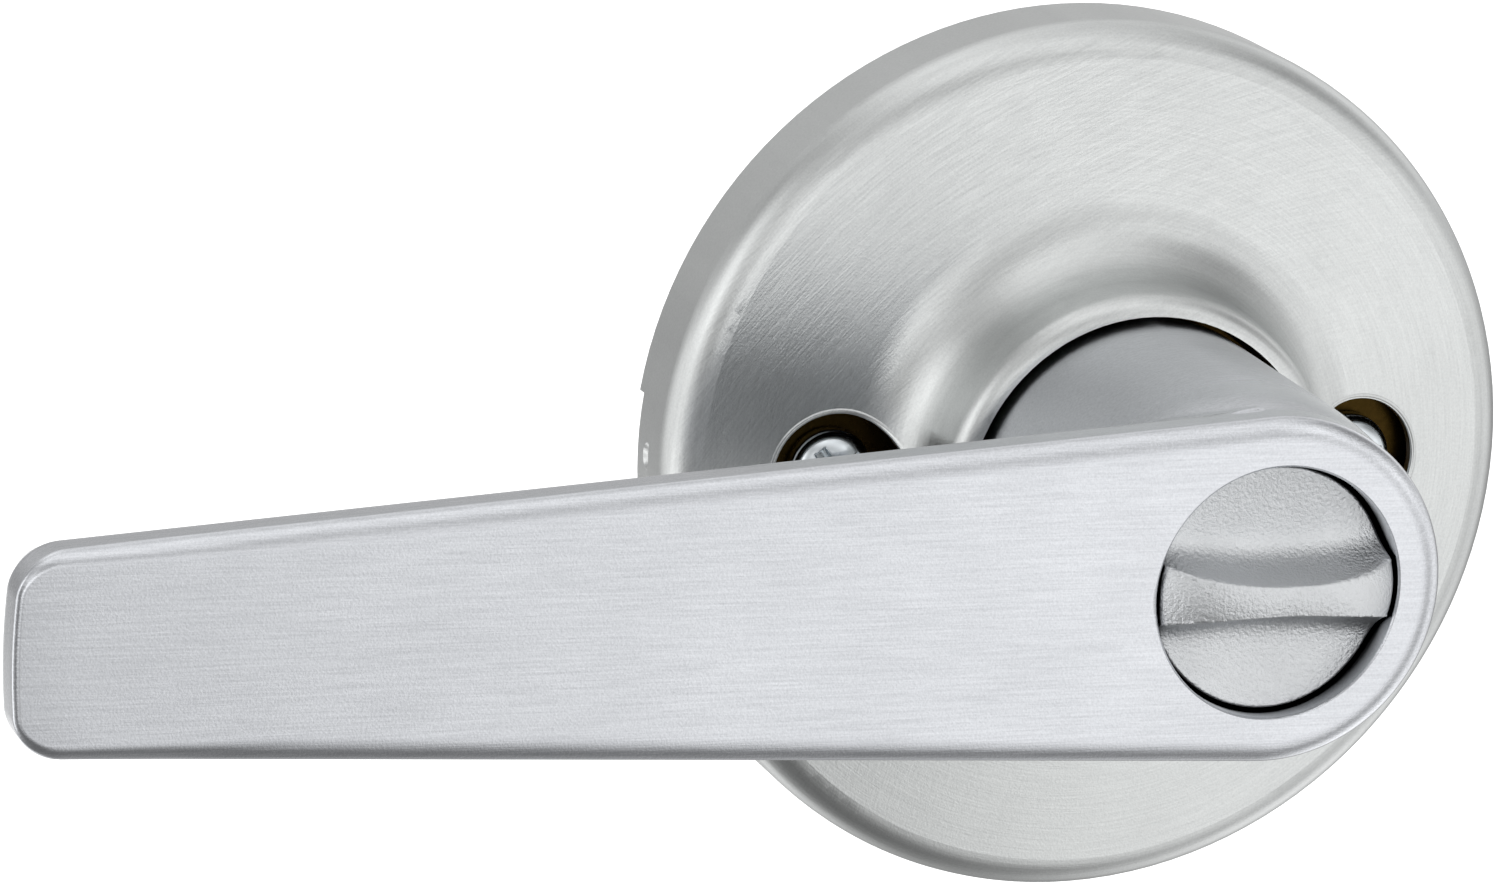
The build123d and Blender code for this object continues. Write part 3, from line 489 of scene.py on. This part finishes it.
def returnSpring():
    # a point of the wire's middle is (R sin a, y, -R cos a): leg, quarter bend, coil, quarter bend, leg;
    # the tube's circle stands on the outward direction and its cross product with the path
    s = springSet
    full = 2 * np.pi * s["turns"]
    bent = s["bend"] / s["coil"]
    t = np.linspace(0, np.pi / 2, 12)[1:-1]
    firstY = s["front"] + s["pitch"] * bent / (2 * np.pi)
    lastY = s["front"] + s["pitch"] * (full - bent) / (2 * np.pi)
    coilAngle = np.linspace(bent, full - bent, 216)
    leg = np.linspace(0, 1, 8)
    angle = np.concatenate([
        0 * leg, bent * (1 - np.cos(t)), coilAngle, full - bent * (1 - np.cos(t[::-1])), 0 * leg + full])
    y = np.concatenate([
        s["frontEnd"] + (firstY - s["bend"] - s["frontEnd"]) * leg, firstY - s["bend"] * (1 - np.sin(t)),
        s["front"] + s["pitch"] * coilAngle / (2 * np.pi), lastY + s["bend"] * (1 - np.sin(t[::-1])),
        lastY + s["bend"] + (s["rearEnd"] - lastY - s["bend"]) * leg])
    outward = np.stack([np.sin(angle), 0 * angle, -np.cos(angle)], -1)
    middle = s["coil"] * outward + np.stack([0 * y, y, 0 * y], -1)
    path = np.gradient(middle, axis=0)
    path /= np.linalg.norm(path, axis=1, keepdims=True)
    other = np.cross(path, outward)
    other /= np.linalg.norm(other, axis=1, keepdims=True)
    around = np.linspace(0, 2 * np.pi, 24, endpoint=False)[None, :, None]
    tube = middle[:, None] + s["wire"] * (np.cos(around) * outward[:, None] + np.sin(around) * other[:, None])
    return pieceMesh("returnSpring", [(tube, False)], springSteel)


spring = returnSpring()
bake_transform(spring)
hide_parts("return_spring")
print("return spring made")


# rolled rims of the two screw holes in the rose: the band's profile is given from the hole's edge and the
# rose's face, and the face by the end of its cone, the cone's slope and the hollow arc at the neck's root
rimSet = {
    "place": 20.65, "hole": 4.8, "outside": ((0.42, -0.06), (0.36, 0.0)), "rollStart": (0.24, 0.05),
    "roll": (0.32, 0.34), "inside": ((-0.08, -0.9), (0.1, -0.92), (0.3, -0.5)), "faceOuter": (30.79, 8.785),
    "slope": 6.0, "rootCentre": (20.923, 15.352), "root": 5.5, "rootEnd": 20.348, "rootStart": 15.5,
}


def holeRims():
    # a closed band over the hole's edge: each point stands above or below the rose's face,
    # which is a cone outside the root radius and a hollow arc inside it
    s = rimSet
    angle = np.linspace(0, 2 * np.pi, 144, endpoint=False)[None, :]
    bend = np.linspace(0, np.pi / 2, 9)
    roll = np.stack([s["rollStart"][0] - s["roll"][0] * np.sin(bend),
                     s["rollStart"][1] - s["roll"][1] * (1 - np.cos(bend))], -1)
    over = np.concatenate([s["outside"], roll, s["inside"]]) + (s["hole"], 0)
    sheets = []
    for centre in (-s["place"], s["place"]):
        x = centre + over[:, :1] * np.cos(angle)
        z = over[:, :1] * np.sin(angle)
        r = np.clip(np.hypot(x, z), s["rootStart"], None)
        cone = s["faceOuter"][1] + (s["faceOuter"][0] - r) * math.tan(math.radians(s["slope"]))
        arc = np.sqrt(np.clip(s["root"] ** 2 - (s["rootCentre"][0] - r) ** 2, 0, None))
        face = np.where(r > s["rootEnd"], cone, s["rootCentre"][1] - arc)
        sheets.append((np.stack([x, -face - over[:, 1:], z], -1), True))
    return pieceMesh("holeRims", sheets, roseFinish)


rims = holeRims()
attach(rims, "rose")
print("hole rims made")


# lever casting: tapered paddle with soft edges on a round head, button pocket, barrel, journal and bore
leverSet = {
    "face": 44.75, "head": 12.5, "reach": 89.93, "tipHalf": 7.05, "tipDrop": 1.25, "tipBow": 50.0,
    "corner": 3.0, "wallFront": 43.2, "wallRear": 41.75, "back": 36.75, "draft": 20.0, "backRound": 3.0,
    "blend": 1.6, "join": 0.35, "flatRound": 2.6, "tightRound": 0.75, "roundSplit": 36.0, "tipShare": 0.3,
    "barrel": ((41.75, 12.5), (37.8, 13.14), (30.0, 13.02), (16.6, 13.2)),  # height and radius
    "barrelEnd": ((13.05, 15.7), (12.9, 15.3), (12.87, 14.87), (12.85, 14.85)),  # radius and height
    "shoulder": 14.85, "journal": 11.9, "groove": (11.0, 1.66, 0.6), "end": -0.498, "endChamfer": 0.2,
    "bore": 8.6, "webRear": 28.35, "stemBore": 3.98, "pocket": 9.07, "pocketFloor": 35.35, "chamfer": 0.15,
    "columns": (150, 90, 150), "crowding": 2.2, "cornerAngle": 0.012, "tipFade": (0.02, 0.03),  # radians
}


def leverCasting():
    # every row runs round the head's axis: its radius is the paddle's outline set inwards by some distance,
    # found by halving steps on the inside distance (sides and bowed tip, their corners rounded)
    s = leverSet
    cornerX = s["tipBow"] - math.sqrt(s["tipBow"] ** 2 - s["tipHalf"] ** 2) - s["reach"]
    sides = []
    for z in (s["tipHalf"] - s["tipDrop"], -s["tipHalf"] - s["tipDrop"]):
        taper = math.asin(s["head"] / math.hypot(cornerX, z)) - math.atan2(abs(z), -cornerX)
        sides.append(math.pi / 2 + taper)
    upper, lower = sides[0], 2 * math.pi - sides[1]
    edgeUp = math.pi - math.atan2(s["tipHalf"] - s["tipDrop"], -cornerX)
    edgeLow = math.pi + math.atan2(s["tipHalf"] + s["tipDrop"], -cornerX)
    # columns: even round the head and over the tip, crowded towards the tip along the sides
    onRound, onSide, onTip = s["columns"]
    tipUp, tipLow = edgeUp - s["cornerAngle"], edgeLow + s["cornerAngle"]
    outwards, inwards = np.linspace(0, 1, onSide, endpoint=False), np.linspace(1, 0, onSide, endpoint=False)
    angle = np.concatenate([
        np.linspace(lower - 2 * np.pi, upper, onRound, endpoint=False),
        upper + (tipUp - upper) * (1 - (1 - outwards) ** s["crowding"]),
        np.linspace(tipUp, tipLow, onTip, endpoint=False),
        lower + (tipLow - lower) * (1 - (1 - inwards) ** s["crowding"])])[None, :]
    ux, uz = np.cos(angle), np.sin(angle)
    onHead = (angle <= upper) | (angle >= lower)

    def inside(radius):
        x, z = radius * ux, radius * uz
        up = s["head"] - x * math.cos(upper) - z * math.sin(upper)
        low = s["head"] - x * math.cos(lower) - z * math.sin(lower)
        tip = s["tipBow"] - np.hypot(x + s["reach"] - s["tipBow"], z + s["tipDrop"])
        side = np.minimum(up, low)
        near = np.hypot(np.clip(s["corner"] - side, 0, None), np.clip(s["corner"] - tip, 0, None))
        both = (side < s["corner"]) & (tip < s["corner"])
        return np.where(onHead, s["head"] - radius, np.where(both, s["corner"] - near, np.minimum(side, tip)))

    def outline(depth):
        # starts between a radius inside every outline and one past the tip
        shortest, longest = np.full_like(angle, 0.5), np.full_like(angle, 99.0)
        for _ in range(44):
            middle = (shortest + longest) / 2
            deep = inside(middle) > depth
            shortest, longest = np.where(deep, middle, shortest), np.where(deep, longest, middle)
        return shortest

    # share of the edge rounding: full along the sides and the head, small at the tip
    before, after = s["tipFade"]
    atTip = smoothStep(angle, edgeUp - before, edgeUp + after)
    atTip = atTip * (1 - smoothStep(angle, edgeLow - after, edgeLow + before))
    share = s["tipShare"] + (1 - s["tipShare"]) * (1 - atTip)
    rows = []
    split = math.radians(s["roundSplit"])
    flatStart = s["tightRound"] * (1 - math.sin(split))
    flatDrop = s["flatRound"] * (1 - math.cos(split))
    # the flat face, its rows crowded at the pocket and at the rim
    faceRim = outline(share * (flatStart + s["flatRound"] * math.sin(split)))
    inner = s["pocket"] + s["chamfer"]
    for t in (0, 0.004, 0.02, 0.1, 0.3, 0.6, 0.8, 0.95, 1):
        rows.append((inner + (faceRim - inner) * t, 0 * angle + s["face"]))
    # front edge: a wide shallow round and then a tight one, from the face to the wall
    for tilt in np.concatenate([np.linspace(0, split, 9)[1:], np.linspace(split, np.pi / 2, 13)[1:]]):
        if tilt <= split + 1e-9:
            depth = flatStart + s["flatRound"] * (math.sin(split) - math.sin(tilt))
            drop = s["flatRound"] * (1 - math.cos(tilt))
        else:
            depth = s["tightRound"] * (1 - math.sin(tilt))
            drop = flatDrop + s["tightRound"] * (math.cos(split) - math.cos(tilt))
        rows.append((outline(share * depth), s["face"] - share * drop))
    # barrel's radius by height: a bend from the head and a slow taper to the neck
    t = np.linspace(0, 1, 60)
    first, pull, even, rear = [np.array(p) for p in s["barrel"]]
    bend = first * ((1 - t) ** 2)[:, None] + 2 * pull * (t * (1 - t))[:, None] + even * (t ** 2)[:, None]
    curve = np.concatenate([bend, rear[None]])[::-1]

    def barrel(height):
        return np.interp(height, curve[:, 0], curve[:, 1])

    def joined(radius, height):
        # the larger of outline and barrel, with a hollow of the join's width where they meet
        other = barrel(height)
        close = np.clip(1 - np.abs(radius - other) / s["join"], 0, 1)
        return np.maximum(radius, other) + 0.25 * s["join"] * close ** 2 * (1 - onHead)

    wall = outline(0)
    for height in np.linspace(s["wallFront"], s["wallRear"] + crisp, 4):
        rows.append((wall, np.minimum(0 * angle + height, rows[-1][1] - 0.01)))
    # the paddle's drafted sides and its rounded back edge
    lean = math.radians(s["draft"])
    roundStart = s["back"] + s["backRound"] * (1 - math.sin(lean))
    for height in np.linspace(s["wallRear"] - crisp, roundStart, 7):
        rows.append((joined(outline((s["wallRear"] - height) * math.tan(lean)), height), 0 * angle + height))
    centre = (s["wallRear"] - roundStart) * math.tan(lean) + s["backRound"] * math.cos(lean)
    for turn in np.linspace(lean, np.pi / 2, 9)[1:]:
        height = s["back"] + s["backRound"] * (1 - math.sin(turn))
        rows.append((joined(outline(centre - s["backRound"] * math.cos(turn)), height), 0 * angle + height))
    # back of the paddle, then a hollow blend into the barrel where there is room for it
    backRim = rows[-1][0]
    blend = np.clip(0.6 * (backRim - barrel(s["back"])) - 0.05, 0.0, s["blend"])
    for t in (0.35, 0.7, 1.0):
        rows.append((backRim + (barrel(s["back"]) + blend - backRim) * t, 0 * angle + s["back"] - 0.001))
    for turn in np.linspace(0, np.pi / 2, 8)[1:]:
        height = s["back"] - 0.002 - blend * (1 - math.cos(turn)) - 0.01 * turn
        rows.append((barrel(height) + blend * (1 - math.sin(turn)), height))
    # the turned rest: barrel, shoulder, journal with the ring's groove, rear end, bore, web and pocket;
    # at a sharp edge one row stands just before it and one just past it
    low = s["back"] - s["blend"] - 0.05
    ends = [(barrel(h), h) for h in np.linspace(low, rear[0], 16)] + list(s["barrelEnd"])
    journal, bore, stemBore, pocket = s["journal"], s["bore"], s["stemBore"], s["pocket"]
    groove, grooveFront, grooveRear = s["groove"]
    shoulder, end, webRear, pocketFloor = s["shoulder"], s["end"], s["webRear"], s["pocketFloor"]
    chamferEnd = s["face"] - s["chamfer"]
    ends += [
        (journal + crisp, shoulder), (journal, shoulder - crisp),
        (journal, grooveFront + crisp), (journal - crisp, grooveFront),
        (groove + crisp, grooveFront), (groove, grooveFront - crisp),
        (groove, grooveRear + crisp), (groove + crisp, grooveRear),
        (journal - crisp, grooveRear), (journal, grooveRear - crisp),
        (journal, end + s["endChamfer"]), (journal - s["endChamfer"], end),
        (bore + s["endChamfer"], end), (bore, end + s["endChamfer"]),
        (bore, webRear - crisp), (bore - crisp, webRear),
        (stemBore + crisp, webRear), (stemBore, webRear + crisp),
        (stemBore, pocketFloor - crisp), (stemBore + crisp, pocketFloor),
        (pocket - crisp, pocketFloor), (pocket, pocketFloor + crisp),
        (pocket, chamferEnd - crisp), (pocket + crisp, chamferEnd + crisp), (inner - crisp, s["face"] - crisp)]
    rows += [(0 * angle + r, 0 * angle + h) for r, h in ends]
    grid = np.stack([np.stack([r * ux, -h, r * uz], -1)[0] for r, h in rows])
    return pieceMesh("leverCasting", [(grid, True)], leverFinish)


casting = leverCasting()
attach(casting, "lever")
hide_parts("lever")
print("lever casting made")


# camera: place in mm, the way it looks and its upper side, as fitted to the part's outline
cameraSet = {
    "place": (-188.33, -478.74, 126.82), "forward": (0.31464, 0.91768, -0.24261),
    "up": (0.02921, 0.24611, 0.96880), "lens": 168.0, "sensor": 36.0, "nearest": 10.0,
}
camData = bpy.data.cameras.new("photoCamera")
camData.lens = cameraSet["lens"]
camData.sensor_width = cameraSet["sensor"]
camData.clip_start = cameraSet["nearest"] * mm
cam = bpy.data.objects.new("photoCamera", camData)
bpy.context.scene.collection.objects.link(cam)
forward = Vector(cameraSet["forward"]).normalized()
right = forward.cross(Vector(cameraSet["up"])).normalized()
up = right.cross(forward)
facing = Matrix((right, up, -forward)).transposed().to_4x4()
cam.matrix_world = Matrix.Translation(Vector(cameraSet["place"]) * mm) @ facing
bpy.context.scene.camera = cam

# soft boxes round the part, low, level with it and high: azimuth from straight ahead (-Y) towards +X,
# elevation, tightness and brightness, on top of an even level
boxSet = {
    "evenLight": 0.19,
    "low": [(-154, -48, 14, 1.17), (102, -48, 14, 1.30), (30, -38, 30, 0.62), (-80, -25, 14, 1.78),
            (80, -25, 14, 0.48), (21, -22, 36, 0.62), (39, -22, 36, 0.52)],
    "level": [(-15, -6, 36, 1.13), (21, -6, 36, 0.91), (39, -6, 36, 0.69), (-120, -2, 14, 0.97),
              (80, -2, 14, 0.76), (160, -2, 14, 0.40), (178, -16, 30, 0.75), (-15, 10, 36, 0.85),
              (3, 10, 36, 0.74), (21, 10, 36, 0.22), (57, 10, 36, 0.88)],
    "high": [(-160, 21, 14, 0.37), (-80, 21, 14, 1.61), (120, 21, 14, 0.98), (-33, 26, 36, 0.73),
             (39, 26, 36, 0.88), (-157, 44, 14, 0.21), (22, 44, 14, 0.72), (157, 44, 14, 0.58),
             (-150, 66, 14, 0.91), (-30, 66, 14, 0.88), (30, 66, 14, 0.24), (90, 66, 14, 0.56)],
}


def studioLight(tree, direction):
    # brightness in a direction: the even light plus, for each box, brightness * exp(tightness * (cosine - 1)),
    # the cosine being that of the angle to the box's middle
    total = boxSet["evenLight"]
    for azimuth, elevation, tightness, brightness in boxSet["low"] + boxSet["level"] + boxSet["high"]:
        a, e = math.radians(azimuth), math.radians(elevation)
        towards = (math.sin(a) * math.cos(e), -math.cos(a) * math.cos(e), math.sin(e))
        cosine = addNode(tree, "ShaderNodeVectorMath", {"operation": "DOT_PRODUCT"},
                         {0: direction, 1: towards})
        fall = addNode(tree, "ShaderNodeMath", {"operation": "MULTIPLY_ADD"},
                       {0: cosine.outputs["Value"], 1: tightness, 2: -tightness})
        soft = addNode(tree, "ShaderNodeMath", {"operation": "EXPONENT"}, {0: fall.outputs[0]})
        total = addNode(tree, "ShaderNodeMath", {"operation": "MULTIPLY_ADD"},
                        {0: soft.outputs[0], 1: brightness, 2: total}).outputs[0]
    return total


def seenThrough(tree):
    # the kinds of ray, and 1 for those that see the plain white: from the camera or through glass
    rays = addNode(tree, "ShaderNodeLightPath")
    clear = addNode(tree, "ShaderNodeMath", {"operation": "MAXIMUM"},
                    {0: rays.outputs["Is Camera Ray"], 1: rays.outputs["Is Transmission Ray"]})
    return rays, clear.outputs[0]


white = (1, 1, 1, 1)

# the world holds the soft boxes; the camera sees plain white instead
world = bpy.data.worlds.new("studio")
bpy.context.scene.world = world
world.use_nodes = True
worldTree = world.node_tree
clear = seenThrough(worldTree)[1]
boxes = studioLight(worldTree, addNode(worldTree, "ShaderNodeTexCoord").outputs["Generated"])
strength = addNode(worldTree, "ShaderNodeMix", links={"Factor": clear, "A": boxes, "B": 1.0})
background = worldTree.nodes["Background"]
background.inputs["Color"].default_value = white
worldTree.links.new(strength.outputs["Result"], background.inputs["Strength"])

# pale floor: white to the camera with a soft shadow; in the metal it shows the low boxes; sizes in m
floorSet = {"height": -1.2, "radius": 16.0, "colour": "#E6E6E6", "roughness": 0.9, "glow": 0.75}
floorMat, floorTree, floorShader = newMaterial("paleFloor")
rays, clear = seenThrough(floorTree)
glow = addNode(floorTree, "ShaderNodeMath", {"operation": "MULTIPLY"}, {0: clear, 1: floorSet["glow"]})
floorShader.inputs["Base Color"].default_value = hexLinear(floorSet["colour"])
floorShader.inputs["Roughness"].default_value = floorSet["roughness"]
floorShader.inputs["Specular IOR Level"].default_value = 0.0
floorShader.inputs["Emission Color"].default_value = white
floorTree.links.new(glow.outputs[0], floorShader.inputs["Emission Strength"])
place = addNode(floorTree, "ShaderNodeTexCoord").outputs["Object"]
outward = addNode(floorTree, "ShaderNodeVectorMath", {"operation": "NORMALIZE"}, {0: place})
mirrored = addNode(floorTree, "ShaderNodeEmission", links={
    "Color": white, "Strength": studioLight(floorTree, outward.outputs[0])})
mixed = addNode(floorTree, "ShaderNodeMixShader", links={
    0: rays.outputs["Is Glossy Ray"], 1: floorShader.outputs[0], 2: mirrored.outputs[0]})
floorTree.links.new(mixed.outputs[0], floorTree.nodes["Material Output"].inputs["Surface"])
f, z = floorSet["radius"], floorSet["height"]
mesh = bpy.data.meshes.new("floor")
mesh.from_pydata([(-f, -f, z), (f, -f, z), (f, f, z), (-f, f, z)], [], [(0, 1, 2, 3)])
mesh.materials.append(floorMat)
floor = bpy.data.objects.new("floor", mesh)
bpy.context.scene.collection.objects.link(floor)

bpy.context.scene.view_settings.view_transform = "Standard"
print("camera and light set")
